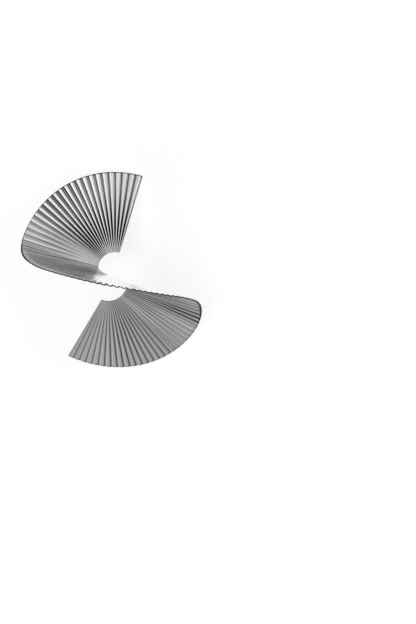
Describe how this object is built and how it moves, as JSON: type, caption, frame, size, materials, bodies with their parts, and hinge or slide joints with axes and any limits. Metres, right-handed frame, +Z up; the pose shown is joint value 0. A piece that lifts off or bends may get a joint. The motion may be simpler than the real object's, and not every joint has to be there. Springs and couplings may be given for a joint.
{
  "type": "pleated fan stud earring",
  "caption": "Stud earring: one ribbon of thin pleated sheet metal twisted into an upper and a lower fan joined by a level middle, with an ear post behind. Lies on its back.",
  "frame": {"origin": "on the surface that the earring lies on, at the middle of its box", "axes": "+Z up from the surface, +Y towards the top of the upper fan, +X to the right as the earring is seen from its front"},
  "size_m": [0.0628, 0.0724, 0.0493],
  "materials": {
    "silver_sheet": "polished silver-tone plating over thin brass sheet, fine pressed grain, darker in the pleat valleys",
    "silver_post": "polished silver-tone plated wire and pad"
  },
  "bodies": {
    "root": {"pleated_fan": "silver_sheet", "ear_post": "silver_post"}
  },
  "joints": []
}
